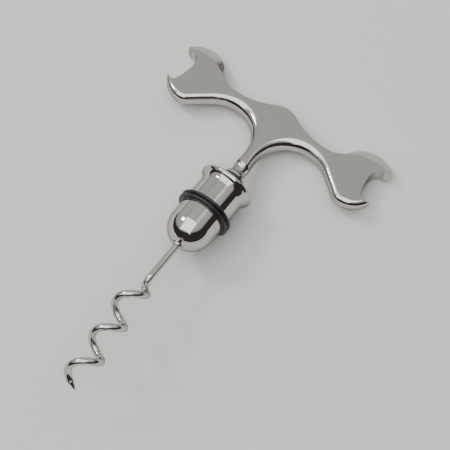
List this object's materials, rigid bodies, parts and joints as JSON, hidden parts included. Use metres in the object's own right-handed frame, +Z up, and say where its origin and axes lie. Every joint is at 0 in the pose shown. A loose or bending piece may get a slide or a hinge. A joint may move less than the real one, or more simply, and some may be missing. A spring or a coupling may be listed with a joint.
{
  "type": "corkscrew",
  "caption": "Direct-pull corkscrew: T handle with a crown-cap jaw at each end, sealing bottle stopper and open wire worm.",
  "frame": {"origin": "centre of the lying tool's footprint, at the level it lies on", "axes": "+X towards the handle (worm points to -X), +Y along the handle's wings, +Z up; the screw axis lies in the XZ plane and dips 10.4 degrees towards the handle"},
  "size_m": [0.1382, 0.0938, 0.0299],
  "materials": {
    "handle_chrome": "polished",
    "stopper_chrome": "polished",
    "worm_chrome": "polished",
    "stud_steel": "satin",
    "seal_rubber": "satin",
    "washer_black": "matte"
  },
  "bodies": {
    "handle": {"handle": "handle_chrome", "tie_stud": "stud_steel"},
    "neck": {"neck_washer": "washer_black"},
    "stopper": {"stopper_upper": "stopper_chrome", "seal_ring": "seal_rubber", "stopper_lower": "stopper_chrome", "worm_ferrule": "stopper_chrome", "lock_washer": "stud_steel", "worm_nut": "stud_steel", "worm": "worm_chrome"}
  },
  "joints": [
    {"name": "stopper_feed", "type": "slide", "parent": "handle", "child": "neck", "axis": [-0.9837, 0, 0.18], "range_m": [0, 0.0056]},
    {"name": "stopper_turn", "type": "hinge", "parent": "neck", "child": "stopper", "pos_m": [0.02499, 0, 0.01074], "axis": [-0.9837, 0, 0.18], "range_deg": [0, 2880]}
  ],
  "couplings": [
    {"joint": "stopper_turn", "follows": "stopper_feed", "rad_per_m": 8975.9}
  ]
}
